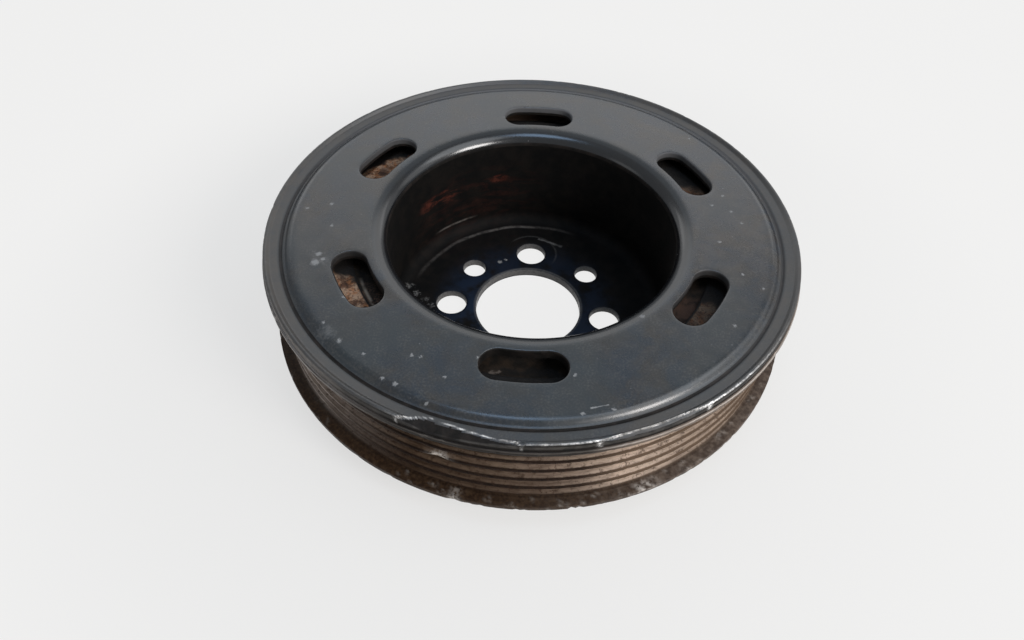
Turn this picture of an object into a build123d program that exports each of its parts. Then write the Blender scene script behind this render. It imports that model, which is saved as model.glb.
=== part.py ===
from build123d import *
from math import cos, degrees, hypot, radians, sin, tan
import os

# Harmonic balancer: a crankshaft pulley with a torsional damper inside it.
# The origin is on the crankshaft axis, at the rear face of the hub's floor, which is
# clamped to the crankshaft. +Z points to the front of the engine. Millimetres.

# ---------------------------------------------------------------- driving dimensions
# Radii are laid out from the belt's crests, so the whole part follows them
crest_radius = 67.2           # over the crests between the belt's grooves
flange_rise = 2.8             # belt flange above the crests

# Pressed hub: one sheet, drawn into a cup with a wide flange
sheet = 2.5                   # thickness of the steel sheet
cup_depth = 35.0              # rear face of the floor to the front face of the annulus
cup_inset = 28.4              # crests to the inside of the cup's wall
floor_bend = 3.5              # inside radius where the wall meets the floor
lip_bend = 4.5                # front radius where the wall rolls over into the annulus
hub_inset = 0.5               # belt flange's edge to the hub's edge
shoulder_inset = 6.2          # hub's edge to the corner of the shoulder that ends the annulus
shoulder_rounding = 6.9       # radius of that shoulder in section
crease_inset = 4.4            # hub's edge to the bottom of the crease outside the shoulder
crease_rounding = 0.4
step_depth = 0.85             # annulus down to the coined ring outside the crease
bead_inset = 1.6              # hub's edge to the inner foot of the low bead round it
bead_run = 0.8                # foot to top of the bead, across
bead_height = 0.75            # top of the bead over the coined ring
bead_rounding = 0.5

# Windows in the annulus
window_count = 6
window_offset = 10.0          # cup's inside to the middle of the window
window_width = 8.75
window_length = 20.3          # end to end along the middle arc
window_angle = 30.0           # first window, from +X
window_rollover = 0.5         # rounding that the punch leaves on the front edge

# Holes in the floor
quarter = 90.0
bolt_circle_radius = 22.5
bore_inset = 7.25             # bolt circle to the edge of the bore
bore_rollover = 0.5
bolt_quarters = 3             # bolt holes that lie on the quarters
bolt_radius = 4.3
bolt_rollover = 0.8
bolt_break = 0.5              # broken edge on the clamped side
index_shift = 8.0             # one bolt hole is this far off its quarter, so the hub fits one way
pin_count = 2
pin_radius = 3.3
pin_rollover = 0.7
pin_break = 0.4
pin_spread = 49.0             # angle of each pin hole from the bolt hole between the two

# Belt rim: a ring with V-grooves between two flanges
groove_count = 6
groove_pitch = 3.56
groove_angle = 40.0           # included angle of a groove
crest_flat = 0.6
root_flat = 0.85
front_flange = 1.1            # thickness of the flange against the hub
rear_flange = 1.54
root_wall = 2.2               # metal left under a groove's root
flange_rounding = 0.4

# Damper: an iron ring carried by rubber on the outside of the cup
rubber_width = 6.3            # cup's wall to the iron ring
rubber_recess = 0.6           # rubber set back from the iron ring's faces
rubber_hollow = 0.7           # extra hollow in the middle of the rubber's faces
iron_front_gap = 3.1          # hub's flange to the iron ring's front face
iron_length = 19.4
iron_rim_gap = 1.6            # iron ring to the belt rim, running clear
iron_land = 6.0               # width of the iron ring's flat front face
iron_drop = 4.0               # fall of the cone outside that face
iron_rounding = 0.8

# Damage: two stretches where the hub's edge is knocked down, and a nick in its bead
knock_slope = 22.0            # fall of a knocked-down face, degrees
knock_clearance = 3.0         # height cleared over such a face
deep_knock_angle = 256.0
deep_knock_inset = 3.0        # hub's edge to the middle of its crease
light_knock_angle = 296.0
light_knock_inset = 1.3
nick_angle = 270.3
nick_radius = 1.0
nick_depth = 0.6

seek = 0.001                  # how near a face or edge lies to the place it is looked for

# ---------------------------------------------------------------- derived sizes
belt_flange_radius = crest_radius + flange_rise
hub_radius = belt_flange_radius - hub_inset
shoulder_radius = hub_radius - shoulder_inset
crease_radius = hub_radius - crease_inset
bead_radius = hub_radius - bead_inset
cup_radius = crest_radius - cup_inset
window_radius = cup_radius + window_offset
bore_radius = bolt_circle_radius - bore_inset

cup_outside = cup_radius + sheet
flange_back = cup_depth - sheet
ring_front = cup_depth - step_depth
bead_top_radius = bead_radius + bead_run
bead_front = ring_front + bead_height
window_half_sweep = degrees((window_length - window_width) / 2 / window_radius)

groove_depth = (groove_pitch - crest_flat - root_flat) / 2 / tan(radians(groove_angle / 2))
root_radius = crest_radius - groove_depth
rim_inside = root_radius - root_wall
belt_front = flange_back - front_flange
belt_back = belt_front - groove_count * groove_pitch
rim_back = belt_back - rear_flange

iron_inside = cup_outside + rubber_width
iron_outside = rim_inside - iron_rim_gap
iron_front = flange_back - iron_front_gap
iron_back = iron_front - iron_length
rubber_front = iron_front - rubber_recess
rubber_back = iron_back + rubber_recess
rubber_middle = (cup_outside + iron_inside) / 2

os.makedirs("parts", exist_ok=True)


def radial_plane(angle, radius, height, slope=0.0):
    """Plane at a place round the axis: Y points outwards, and Z points up, leaning out by the slope."""
    a = radians(angle)
    s = radians(slope)
    return Plane(
        origin=(radius * cos(a), radius * sin(a), height),
        x_dir=(sin(a), -cos(a), 0),
        z_dir=(sin(s) * cos(a), sin(s) * sin(a), cos(s)),
    )


def knock_down(angle, crease_distance):
    """Cut the hub's edge down to a sloping flat face outside a straight crease."""
    half_chord = (hub_radius**2 - crease_distance**2) ** 0.5
    reach = hypot(half_chord, sheet)
    with BuildSketch(radial_plane(angle, crease_distance, ring_front, knock_slope)) as footprint:
        Rectangle(2 * reach, hub_radius - crease_distance + sheet, align=(Align.CENTER, Align.MIN))
    extrude(footprint.sketch, amount=knock_clearance, mode=Mode.SUBTRACT)


def at_height(shapes, height):
    """Those of some faces or edges that lie at one height."""
    return shapes.filter_by_position(Axis.Z, height - seek, height + seek)


def round_edges(builder, radius, height):
    """Circular edges of one radius at one height."""
    circles = at_height(builder.edges().filter_by(GeomType.CIRCLE), height)
    return circles.filter_by(lambda edge: abs(edge.radius - radius) < seek)


# ---------------------------------------------------------------- hub shell
# One deep-drawn sheet: floor, cup wall, rolled lip, annulus, shoulder, coined ring and bead.
with BuildPart() as hub_shell:
    with BuildSketch(Plane.XZ):
        with BuildLine():
            FilletPolyline(
                (bore_radius, 0),
                (cup_outside, 0),
                (cup_outside, flange_back),
                (hub_radius, flange_back),
                (hub_radius, bead_front),
                (bead_top_radius, bead_front),
                (bead_radius, ring_front),
                (crease_radius, ring_front),
                (shoulder_radius, cup_depth),
                (cup_radius, cup_depth),
                (cup_radius, sheet),
                (bore_radius, sheet),
                radius=(
                    0,
                    floor_bend + sheet,
                    lip_bend - sheet,
                    0,
                    bead_rounding,
                    bead_rounding,
                    bead_rounding,
                    crease_rounding,
                    shoulder_rounding,
                    lip_bend,
                    floor_bend,
                    bore_rollover,
                ),
                close=True,
            )
        make_face()
    revolve(axis=Axis.Z)

    # Arc windows round the annulus, with the punch's rounding on the front edge
    with BuildSketch(Plane.XY.offset(flange_back)):
        with BuildLine(mode=Mode.PRIVATE) as window_middle:
            CenterArc((0, 0), window_radius, window_angle - window_half_sweep, 2 * window_half_sweep)
        with PolarLocations(0, window_count):
            SlotArc(window_middle.edge(), window_width)
    extrude(amount=sheet, mode=Mode.SUBTRACT)
    annulus = at_height(hub_shell.faces().filter_by(GeomType.PLANE), cup_depth)[0]
    round_outlines = at_height(annulus.edges().filter_by(GeomType.CIRCLE), cup_depth).filter_by(
        lambda edge: edge.is_closed
    )
    fillet(annulus.edges() - round_outlines, window_rollover)

    # Bolt holes: three at the quarters and the shifted one that sets the hub's only position
    with Locations(Plane.XY.offset(sheet)):
        with PolarLocations(
            bolt_circle_radius, bolt_quarters, start_angle=quarter, angular_range=bolt_quarters * quarter
        ):
            Hole(bolt_radius, depth=sheet)
        with PolarLocations(bolt_circle_radius, 1, start_angle=-index_shift):
            Hole(bolt_radius, depth=sheet)
        with PolarLocations(
            bolt_circle_radius,
            pin_count,
            start_angle=quarter - pin_spread,
            angular_range=2 * pin_spread,
            endpoint=True,
        ):
            Hole(pin_radius, depth=sheet)
    fillet(round_edges(hub_shell, bolt_radius, sheet), bolt_rollover)
    fillet(round_edges(hub_shell, pin_radius, sheet), pin_rollover)
    chamfer(round_edges(hub_shell, bolt_radius, 0), bolt_break)
    chamfer(round_edges(hub_shell, pin_radius, 0), pin_break)

    # Damage on the edge
    knock_down(deep_knock_angle, hub_radius - deep_knock_inset)
    knock_down(light_knock_angle, hub_radius - light_knock_inset)
    with Locations(radial_plane(nick_angle, bead_top_radius, bead_front + nick_radius - nick_depth)):
        Cylinder(nick_radius, 2 * (hub_radius - bead_radius), rotation=(quarter, 0, 0), mode=Mode.SUBTRACT)

hub_shell.part.label = "hub_shell"
export_step(hub_shell.part, "parts/hub_shell.step")


# ---------------------------------------------------------------- belt rim
# The belt's track: V-grooves between two flanges, seated against the back of the hub's flange.
with BuildPart() as belt_rim:
    flank_run = (groove_pitch - crest_flat - root_flat) / 2
    outline = [(rim_inside, flange_back), (belt_flange_radius, flange_back), (belt_flange_radius, belt_front)]
    for groove in range(groove_count):
        groove_front = belt_front - groove * groove_pitch - crest_flat / 2
        outline += [
            (crest_radius, groove_front),
            (root_radius, groove_front - flank_run),
            (root_radius, groove_front - flank_run - root_flat),
            (crest_radius, groove_front - 2 * flank_run - root_flat),
        ]
    outline += [(belt_flange_radius, belt_back), (belt_flange_radius, rim_back), (rim_inside, rim_back)]
    with BuildSketch(Plane.XZ):
        with BuildLine():
            Polyline(*outline, close=True)
        make_face()
    revolve(axis=Axis.Z)
    fillet(round_edges(belt_rim, belt_flange_radius, flange_back), flange_rounding)
    fillet(round_edges(belt_rim, belt_flange_radius, rim_back), flange_rounding)

belt_rim.part.label = "belt_rim"
export_step(belt_rim.part, "parts/belt_rim.step")


# ---------------------------------------------------------------- inertia ring
# Cast iron, free to twist on the rubber, clear of the belt rim and of the hub's flange.
with BuildPart() as inertia_ring:
    with BuildSketch(Plane.XZ):
        with BuildLine():
            FilletPolyline(
                (iron_inside, iron_back),
                (iron_outside, iron_back),
                (iron_outside, iron_front - iron_drop),
                (iron_inside + iron_land, iron_front),
                (iron_inside, iron_front),
                radius=(0, iron_rounding, iron_rounding, iron_rounding, 0),
                close=True,
            )
        make_face()
    revolve(axis=Axis.Z)

inertia_ring.part.label = "inertia_ring"
export_step(inertia_ring.part, "parts/inertia_ring.step")


# ---------------------------------------------------------------- rubber ring
# Bonded between the cup's wall and the iron ring, with hollow faces where it is free to bulge.
with BuildPart() as rubber_ring:
    with BuildSketch(Plane.XZ):
        with BuildLine():
            ThreePointArc(
                (cup_outside, rubber_front),
                (rubber_middle, rubber_front - rubber_hollow),
                (iron_inside, rubber_front),
            )
            Line((iron_inside, rubber_front), (iron_inside, rubber_back))
            ThreePointArc(
                (iron_inside, rubber_back),
                (rubber_middle, rubber_back + rubber_hollow),
                (cup_outside, rubber_back),
            )
            Line((cup_outside, rubber_back), (cup_outside, rubber_front))
        make_face()
    revolve(axis=Axis.Z)

rubber_ring.part.label = "rubber_ring"
export_step(rubber_ring.part, "parts/rubber_ring.step")
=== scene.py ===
import math

import bmesh
import bpy
import numpy as np
from mathutils import Matrix, Vector, noise
from mathutils.geometry import delaunay_2d_cdt

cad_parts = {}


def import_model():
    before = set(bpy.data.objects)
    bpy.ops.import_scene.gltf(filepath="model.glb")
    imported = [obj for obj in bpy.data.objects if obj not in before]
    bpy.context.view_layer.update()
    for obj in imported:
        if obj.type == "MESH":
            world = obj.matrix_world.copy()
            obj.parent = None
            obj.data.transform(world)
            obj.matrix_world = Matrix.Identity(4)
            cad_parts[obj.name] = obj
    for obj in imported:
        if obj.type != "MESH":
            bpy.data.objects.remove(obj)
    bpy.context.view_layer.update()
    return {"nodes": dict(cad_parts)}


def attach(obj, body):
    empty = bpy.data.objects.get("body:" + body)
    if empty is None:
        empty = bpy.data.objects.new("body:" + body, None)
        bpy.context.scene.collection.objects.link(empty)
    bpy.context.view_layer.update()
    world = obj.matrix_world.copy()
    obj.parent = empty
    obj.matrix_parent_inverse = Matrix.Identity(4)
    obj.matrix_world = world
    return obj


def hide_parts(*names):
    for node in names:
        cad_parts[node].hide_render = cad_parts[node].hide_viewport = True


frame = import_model()

MM = 0.001

# ------------------------------------------------------------------ sizes, in millimetres
# Hub: one pressed sheet, with a cup, a rolled lip, a wide annulus and a turned-over edge
sheet = 2.5
cup_depth = 35.0
cup_radius = 38.8
cup_outside = cup_radius + sheet
flange_back = cup_depth - sheet
floor_bend = 3.5
lip_bend = 4.5
mouth_radius = 38.3  # where the cup's wall ends and the lip begins
mouth_reach = 5.0  # lip's bend along the annulus
mouth_drop = 3.5  # lip's bend down the wall
hub_radius = 69.5
shoulder_start = 61.85
shoulder_rounding = 2.94
shoulder_tilt = math.radians(42)
foot_rounding = 1.75
crease_radius = 65.1
ring_front = 34.15
bead_radius = 67.9
bead_top = 68.7
bead_front = 34.9
knock_fall = math.tan(math.radians(22))
touch = 1e-4  # keeps two bends that meet from overlapping

window_radius = 48.8
window_length = 20.3
window_half_width = 4.375
window_half_sweep = math.degrees((window_length - 2 * window_half_width) / 2 / window_radius)
window_first, window_step, window_count = 30, 60, 6
window_angles = [window_first + window_step * k for k in range(window_count)]
window_rollover = 0.5

bore_radius = 15.25
bore_break = 0.5
bolt_circle = 22.5
# Holes in the floor: angle, radius, rollover in front and broken edge behind
floor_holes = [(angle, 4.3, 0.8, 0.5) for angle in (90, 180, 270, -8)]
floor_holes += [(angle, 3.3, 0.7, 0.4) for angle in (41, 139)]

# Divisions round the axis, or round a hole
edge_count = 900
ring_count = 480
cup_count = 360
bore_count = 180
hole_count = 60

# Belt rim: grooves between two flanges
groove_pitch = 3.56
groove_count = 6
crest_flat = 0.6
root_flat = 0.85
crest_radius = 67.2
belt_flange_radius = 70.0
flank_run = (groove_pitch - crest_flat - root_flat) / 2
flank_angle = math.radians(20)
root_radius = crest_radius - flank_run / math.tan(flank_angle)
rim_wall = 2.2
front_flange = 1.1
rear_flange = 1.54
rim_inside = root_radius - rim_wall
belt_front = flange_back - front_flange
belt_back = belt_front - groove_count * groove_pitch
rim_back = belt_back - rear_flange

# Iron ring, and the rubber between it and the cup
rubber_width = 6.3
rubber_inset = 0.6
rubber_dish = 0.7
iron_clearance = 1.6
iron_inside = cup_outside + rubber_width
iron_outside = rim_inside - iron_clearance
iron_front = 29.4
iron_back = 10.0
iron_flat, iron_fall = 6.0, 4.0
rubber_front = iron_front - rubber_inset
rubber_back = iron_back + rubber_inset

# Knocked-down stretches of the hub's edge: angle round the axis, and how far out the crease runs
deep_crease = [(246.8, 70.0), (248.3, 68.9), (251.5, 67.0), (253.4, 66.35), (255.0, 66.9), (257.5, 66.7),
               (261.1, 67.35), (264.0, 67.9), (266.7, 68.35), (269.4, 68.6), (270.8, 70.0)]
light_crease = [(282.5, 70.0), (284.5, 69.3), (287.4, 68.8), (291.1, 68.4), (295.0, 68.45), (300.3, 68.4),
                (303.0, 68.8), (305.6, 69.4), (307.5, 70.0)]
# Share of paint that the edge's corner has lost: angle round the axis, and share
lost_paint = [(243, 0.0), (250, 0.3), (270, 0.22), (276, 0.35), (286, 0.85), (290, 1.0), (303, 1.0), (311, 0.75),
              (322, 0.25), (335, 0.0)]


# ------------------------------------------------------------------ mesh code
def rounded(corners, radii, run=0.5, turn=10.0):
    """An open path of straight runs with rounded corners, divided finely, as rows of (radius, height)."""
    corners = [np.array(c, float) for c in corners]
    path = [corners[0]]
    for before, corner, after, radius in zip(corners, corners[1:], corners[2:], radii):
        if radius == 0:
            path.append(corner)
            continue
        a, b = (before - corner), (after - corner)
        a, b = a / np.linalg.norm(a), b / np.linalg.norm(b)
        half = math.acos(np.clip(a @ b, -1, 1)) / 2
        middle = corner + (a + b) / np.linalg.norm(a + b) * radius / math.sin(half)
        start, end = corner + a * radius / math.tan(half) - middle, corner + b * radius / math.tan(half) - middle
        sweep = math.pi - 2 * half
        count = max(3, math.ceil(math.degrees(sweep) / turn))
        for t in np.linspace(0, 1, count + 1):
            path.append(middle + (math.sin((1 - t) * sweep) * start + math.sin(t * sweep) * end) / math.sin(sweep))
    path.append(corners[-1])
    fine = [path[0]]
    for a, b in zip(path, path[1:]):
        parts = max(1, math.ceil(np.linalg.norm(b - a) / run))
        fine += [a + (b - a) * k / parts for k in range(1, parts + 1)]
    return np.array(fine)


def circle(radius, count, centre=(0.0, 0.0)):
    a = np.linspace(0, 2 * math.pi, count, endpoint=False)
    return np.stack([centre[0] + radius * np.cos(a), centre[1] + radius * np.sin(a)], 1)


def slot_outline(angle, grow, ends=26, sides=24):
    """Outline of a window, grown outwards by an offset."""
    half = window_half_width + grow
    sweep = math.radians(window_half_sweep)
    a = np.linspace(-sweep, sweep, sides, endpoint=False)
    outer = [(window_radius + half) * np.array([math.cos(t), math.sin(t)]) for t in a]
    inner = [(window_radius - half) * np.array([math.cos(t), math.sin(t)]) for t in -a]
    tips = []
    for side in (1, -1):
        tip = window_radius * np.array([math.cos(sweep), side * math.sin(sweep)])
        out = np.array([math.cos(sweep), side * math.sin(sweep)])
        along = np.array([-math.sin(sweep) * side, math.cos(sweep)]) * side
        turn = np.linspace(0, math.pi, ends, endpoint=False)
        tips.append([tip + half * (out * math.cos(t) * side + along * math.sin(t)) for t in turn])
    points = np.array(outer + tips[0] + inner + tips[1])
    c, s = math.cos(math.radians(angle)), math.sin(math.radians(angle))
    return points @ np.array([[c, s], [-s, c]])


def placed(name, data):
    """A new object with this data, in the scene."""
    made = bpy.data.objects.new(name, data)
    bpy.context.scene.collection.objects.link(made)
    return made


class Shape:
    """Collects strips and plates in millimetres, and welds them into one mesh in metres."""

    def __init__(self):
        self.points, self.faces, self.count = [], [], 0

    def add(self, points, faces):
        self.points.append(np.asarray(points, float).reshape(-1, 3))
        self.faces += [[i + self.count for i in face] for face in faces]
        self.count += len(self.points[-1])

    def strip(self, rows):
        """Closed rows of equally many points, joined by quads."""
        rows = np.asarray(rows, float)
        m, n = rows.shape[:2]
        faces = []
        for r in range(m - 1):
            for k in range(n):
                j = (k + 1) % n
                faces.append((r * n + k, r * n + j, (r + 1) * n + j, (r + 1) * n + k))
        self.add(rows, faces)

    def lathe(self, path, count):
        a = np.linspace(0, 2 * math.pi, count, endpoint=False)
        r, z = path[:, 0][:, None], path[:, 1][:, None]
        self.strip(np.stack([r * np.cos(a), r * np.sin(a), z + 0 * a], 2))

    def plate(self, outer, inner, holes, height, spacing, seed):
        """A flat face between two circles, with holes, meshed finely enough to be worn and dented."""
        random = np.random.default_rng(seed)
        loops = [outer, inner] + holes
        low, high = np.hypot(*inner[0]), np.hypot(*outer[0])
        fill = []
        for ring in np.arange(low + spacing, high - 0.5 * spacing, spacing):
            count = int(2 * math.pi * ring / spacing)
            a = 2 * math.pi * (np.arange(count) + random.random(count) * 0.5 + random.random()) / count
            r = ring + (random.random(count) - 0.5) * 0.5 * spacing
            fill.append(np.stack([r * np.cos(a), r * np.sin(a)], 1))
        fill = np.concatenate(fill)
        for hole in holes:
            near = np.linalg.norm(fill[:, None] - hole[None, ::2], axis=2).min(1)
            fill = fill[(near > 0.5 * spacing) & ~self.within(fill, hole)]
        points, edges = [], []
        for loop in loops:
            start = sum(len(p) for p in points)
            points.append(loop)
            edges += [(start + k, start + (k + 1) % len(loop)) for k in range(len(loop))]
        points = np.concatenate(points + [fill])
        made = delaunay_2d_cdt([Vector(p) for p in points], edges, [], 0, 1e-7)
        flat = np.array([(v.x, v.y) for v in made[0]])
        triangles = np.array([f for f in made[2] if len(f) == 3])
        middle = flat[triangles].mean(1)
        keep = ~self.within(middle, inner)
        for hole in holes:
            keep &= ~self.within(middle, hole)
        self.add(np.column_stack([flat, np.full(len(flat), height)]), triangles[keep].tolist())

    @staticmethod
    def within(points, loop):
        """Which points lie inside a closed outline."""
        x, y = points[:, 0][:, None], points[:, 1][:, None]
        ax, ay = loop[:, 0][None], loop[:, 1][None]
        bx, by = np.roll(ax, -1), np.roll(ay, -1)
        crosses = (ay > y) != (by > y)
        with np.errstate(divide="ignore", invalid="ignore"):
            at = ax + (y - ay) / (by - ay) * (bx - ax)
        return (crosses & (x < at)).sum(1) % 2 == 1

    def made(self, name, wear, sharp=32.0):
        """The welded object. wear(points) moves the points and returns named values for the material."""
        points = np.concatenate(self.points) * MM
        mesh = bpy.data.meshes.new(name)
        mesh.from_pydata(points.tolist(), [], self.faces)
        work = bmesh.new()
        work.from_mesh(mesh)
        bmesh.ops.remove_doubles(work, verts=work.verts, dist=2e-7)
        bmesh.ops.recalc_face_normals(work, faces=work.faces)
        work.to_mesh(mesh)
        work.free()
        co = np.zeros(len(mesh.vertices) * 3)
        mesh.vertices.foreach_get("co", co)
        moved, values = wear(co.reshape(-1, 3) / MM)
        mesh.vertices.foreach_set("co", (moved * MM).ravel())
        for key, value in values.items():
            layer = mesh.attributes.new(key, "FLOAT", "POINT")
            layer.data.foreach_set("value", value.astype(np.float32))
        mesh.update()
        mesh.shade_smooth()
        mesh.set_sharp_from_angle(angle=math.radians(sharp))
        return placed(name, mesh)


def wander(points, scale, octaves=3, shift=0.0):
    """Smooth seeded noise about 0 at points in millimetres, one feature per scale."""
    return np.array([noise.fractal(Vector(p) / scale + Vector((shift, 7.3, 1.1)), 1.0, 2.0, octaves) for p in points])


def wander_where(mask, points, *shape):
    """wander() at the points that the mask picks, and 0 at the others."""
    values = np.zeros(len(points))
    values[mask] = wander(points[mask], *shape)
    return values


def polar(points):
    return np.hypot(points[:, 0], points[:, 1]), np.degrees(np.arctan2(points[:, 1], points[:, 0])) % 360


def bump(x, middle, width):
    return np.exp(-(((x - middle) / width) ** 2))


# ------------------------------------------------------------------ hub shell
def hole_centre(angle):
    angle = math.radians(angle)
    return bolt_circle * np.array([math.cos(angle), math.sin(angle)])


def rolled(size):
    """How far out and how far down the steps of a rolled-over edge lie."""
    return [(size * (1 - math.sin(t)), size * (1 - math.cos(t))) for t in np.linspace(0, math.pi / 2, 6)]


def hub_shape():
    shape = Shape()
    floor_edge = cup_radius - floor_bend
    annulus_in = cup_radius + lip_bend
    bend_foot = cup_outside - floor_bend - sheet
    slots = {g: [slot_outline(a, g) for a in window_angles] for g in (0.0, window_rollover)}

    # floor, with its holes
    bore_top = circle(bore_radius + bore_break, bore_count)
    tops, feet = [], []
    for angle, radius, rollover, broken in floor_holes:
        at = hole_centre(angle)
        top, foot = circle(radius + rollover, hole_count, at), circle(radius + broken, hole_count, at)
        tops.append(top)
        feet.append(foot)
        wall = [(radius + out, sheet - down) for out, down in rolled(rollover)]
        wall += [(radius, z) for z in np.linspace(sheet - rollover, broken, 5)[1:]] + [(radius + broken, 0)]
        shape.strip([np.column_stack([circle(r, hole_count, at), np.full(hole_count, z)]) for r, z in wall])
    shape.plate(circle(floor_edge, cup_count), bore_top, tops, sheet, spacing=0.9, seed=1)
    shape.plate(circle(bend_foot, cup_count), circle(bore_radius, bore_count), feet, 0, spacing=1.6, seed=2)
    bore = rounded([(bore_radius, 0), (bore_radius, sheet), (bore_radius + bore_break, sheet)], [bore_break - touch])
    bore[-2:, 0] = bore_radius + bore_break  # so that the bend's end welds to the plate
    shape.lathe(bore, bore_count)

    # cup, whose wall leans in towards a lip that bends as an ellipse
    lip_start = mouth_radius + mouth_reach
    cup = rounded([(floor_edge, sheet), (cup_radius, sheet), (mouth_radius, cup_depth - mouth_drop)],
                  [floor_bend - 0.06], run=2.0, turn=6)
    turn = np.linspace(0, math.pi / 2, 17)[1:]
    lip = np.column_stack([lip_start - mouth_reach * np.cos(turn), cup_depth - mouth_drop * (1 - np.sin(turn))])
    shape.lathe(np.vstack([cup, lip]), cup_count)
    back = rounded([(bend_foot, 0), (cup_outside, 0), (cup_outside, flange_back), (annulus_in, flange_back)],
                   [floor_bend + sheet - touch, lip_bend - sheet - touch], run=2.0, turn=12)
    shape.lathe(back, cup_count)

    # annulus, with its windows
    shape.plate(circle(shoulder_start, edge_count), circle(lip_start, cup_count), slots[window_rollover], cup_depth,
                spacing=0.95, seed=3)
    shape.plate(circle(hub_radius, edge_count), circle(annulus_in, cup_count), slots[0.0], flange_back,
                spacing=3.0, seed=4)
    for k, angle in enumerate(window_angles):
        rows = [(slot_outline(angle, out), cup_depth - down) for out, down in rolled(window_rollover)]
        rows += [(slots[0.0][k], z) for z in np.linspace(cup_depth - window_rollover, flange_back, 6)[1:]]
        shape.strip([np.column_stack([line, np.full(len(line), z)]) for line, z in rows])

    # shoulder, crease, coined ring and bead
    half = math.tan(shoulder_tilt / 2)
    brow = shoulder_start + shoulder_rounding * half
    fall = (shoulder_rounding + foot_rounding) * half
    foot = (brow + fall * math.cos(shoulder_tilt), cup_depth - fall * math.sin(shoulder_tilt))
    edge = rounded(
        [(shoulder_start, cup_depth), (brow, cup_depth), foot, (crease_radius + 0.1, foot[1]),
         (bead_radius, ring_front), (bead_top, bead_front), (hub_radius, bead_front), (hub_radius, flange_back)],
        [shoulder_rounding - touch, foot_rounding - touch, 0.4, 0.5, 0.5, 0.5], run=0.42, turn=9)
    shape.lathe(edge, edge_count)
    return shape


def hub_wear(p):
    r, a = polar(p)
    z = p[:, 2]
    rim = (r > 64) & (z > flange_back + 0.02)
    rough = wander_where(rim, p, 2.2, 4)
    slow = wander_where(rim, p, 9.0, 2, 3.0)

    bare = np.zeros(len(p))
    chipped = np.zeros(len(p))
    for knots, depth in ((deep_crease, 1.0), (light_crease, 0.55)):
        crease = np.interp(a, *zip(*knots), left=99, right=99) + 0.1 * rough + 0.1 * slow
        out = r - crease
        face = ring_front - out * knock_fall + 0.12 * rough * np.clip(out, 0, 1)
        hit = rim & (out > 0) & (z > face)
        z = np.where(hit, face + (z - face) * 0.03, z)
        line = rim & (np.abs(out) < 2)
        bare = np.maximum(bare, np.where(line, bump(out, -0.05, 0.12) * (0.55 + 0.9 * rough), 0))
        chipped = np.maximum(chipped, np.where(hit, np.clip(out * 1.4 - 0.1, 0, 1) * depth, 0))

    # the edge's corner has lost its paint on the side that was knocked about, and is nicked all round
    side = np.interp(a, *zip(*lost_paint))
    corner = np.hypot(r - hub_radius + 0.22, z - bead_front + 0.08)
    bare = np.maximum(bare, np.where(rim, bump(corner, 0, 0.2) * side * (0.85 + 0.8 * rough), 0))
    inward = np.where(rim & (r > bead_top), np.clip(rough - 0.25, 0, 1) * 0.55 * (0.25 + side), 0)
    notch = np.where(rim & (r > bead_top - 0.4), bump(a, 270.3, 0.75) * 0.55, 0)
    z = z - np.where(rim & (r > bead_radius) & (z > ring_front), inward + notch, 0)
    shrink = np.where(rim & (r > hub_radius - 0.6), 0.6 * inward + 0.05 * np.abs(slow), 0)

    # punched walls are torn a little, and the wide faces are not quite flat
    walls = (z < cup_depth - 0.3) & (z > flange_back + 0.02) & (r > 43.6) & (r < 54)
    torn = wander_where(walls, p, 0.9, 3, 5.0) * 0.07
    flat = (z > cup_depth - 0.6) & (r < 62.5)
    sag = -np.abs(wander_where(flat, p, 30.0, 2, 9.0)) * 0.03
    cup = (r < cup_radius + 0.01) & (z > sheet + 0.05) & (z < 31)
    dent = wander_where(cup, p, 6.0, 3, 2.0) * 0.035

    scale = (r - shrink + torn + dent) / np.maximum(r, 1e-6)
    crease = np.where(rim & (z < ring_front + 0.6), 0.16 * bump(r, crease_radius + 0.05, 0.3), 0)
    moved = np.column_stack([p[:, 0] * scale, p[:, 1] * scale, z + sag - crease])

    # walls of the holes that were punched in the floor
    punched = np.where((z < sheet - 0.2) & (z > 0.2), bump(r, bore_radius, 0.3), 0)
    for angle, radius, *_ in floor_holes:
        away = np.linalg.norm(p[:, :2] - hole_centre(angle), axis=1)
        punched = np.maximum(punched, np.where((z < sheet - 0.2) & (z > 0.2), bump(away, radius, 0.3), 0))
    return moved, {"bare": np.clip(bare, 0, 1), "chipped": np.clip(chipped, 0, 1), "punched": punched}


# ------------------------------------------------------------------ belt rim
def rim_shape():
    corners = [(rim_inside, flange_back), (belt_flange_radius, flange_back), (belt_flange_radius, belt_front)]
    radii = [0.4, 0.1]
    for groove in range(groove_count):
        front = belt_front - groove * groove_pitch - crest_flat / 2
        corners += [(crest_radius, front), (root_radius, front - flank_run),
                    (root_radius, front - flank_run - root_flat), (crest_radius, front - 2 * flank_run - root_flat)]
        radii += [0.18, 0.22, 0.22, 0.18]
    corners += [(belt_flange_radius, belt_back), (belt_flange_radius, rim_back), (rim_inside, rim_back),
                (rim_inside, flange_back)]
    radii += [0.1, 0.4, 0.3]
    shape = Shape()
    shape.lathe(rounded(corners, radii, run=0.8, turn=30), ring_count)
    return shape


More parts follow.
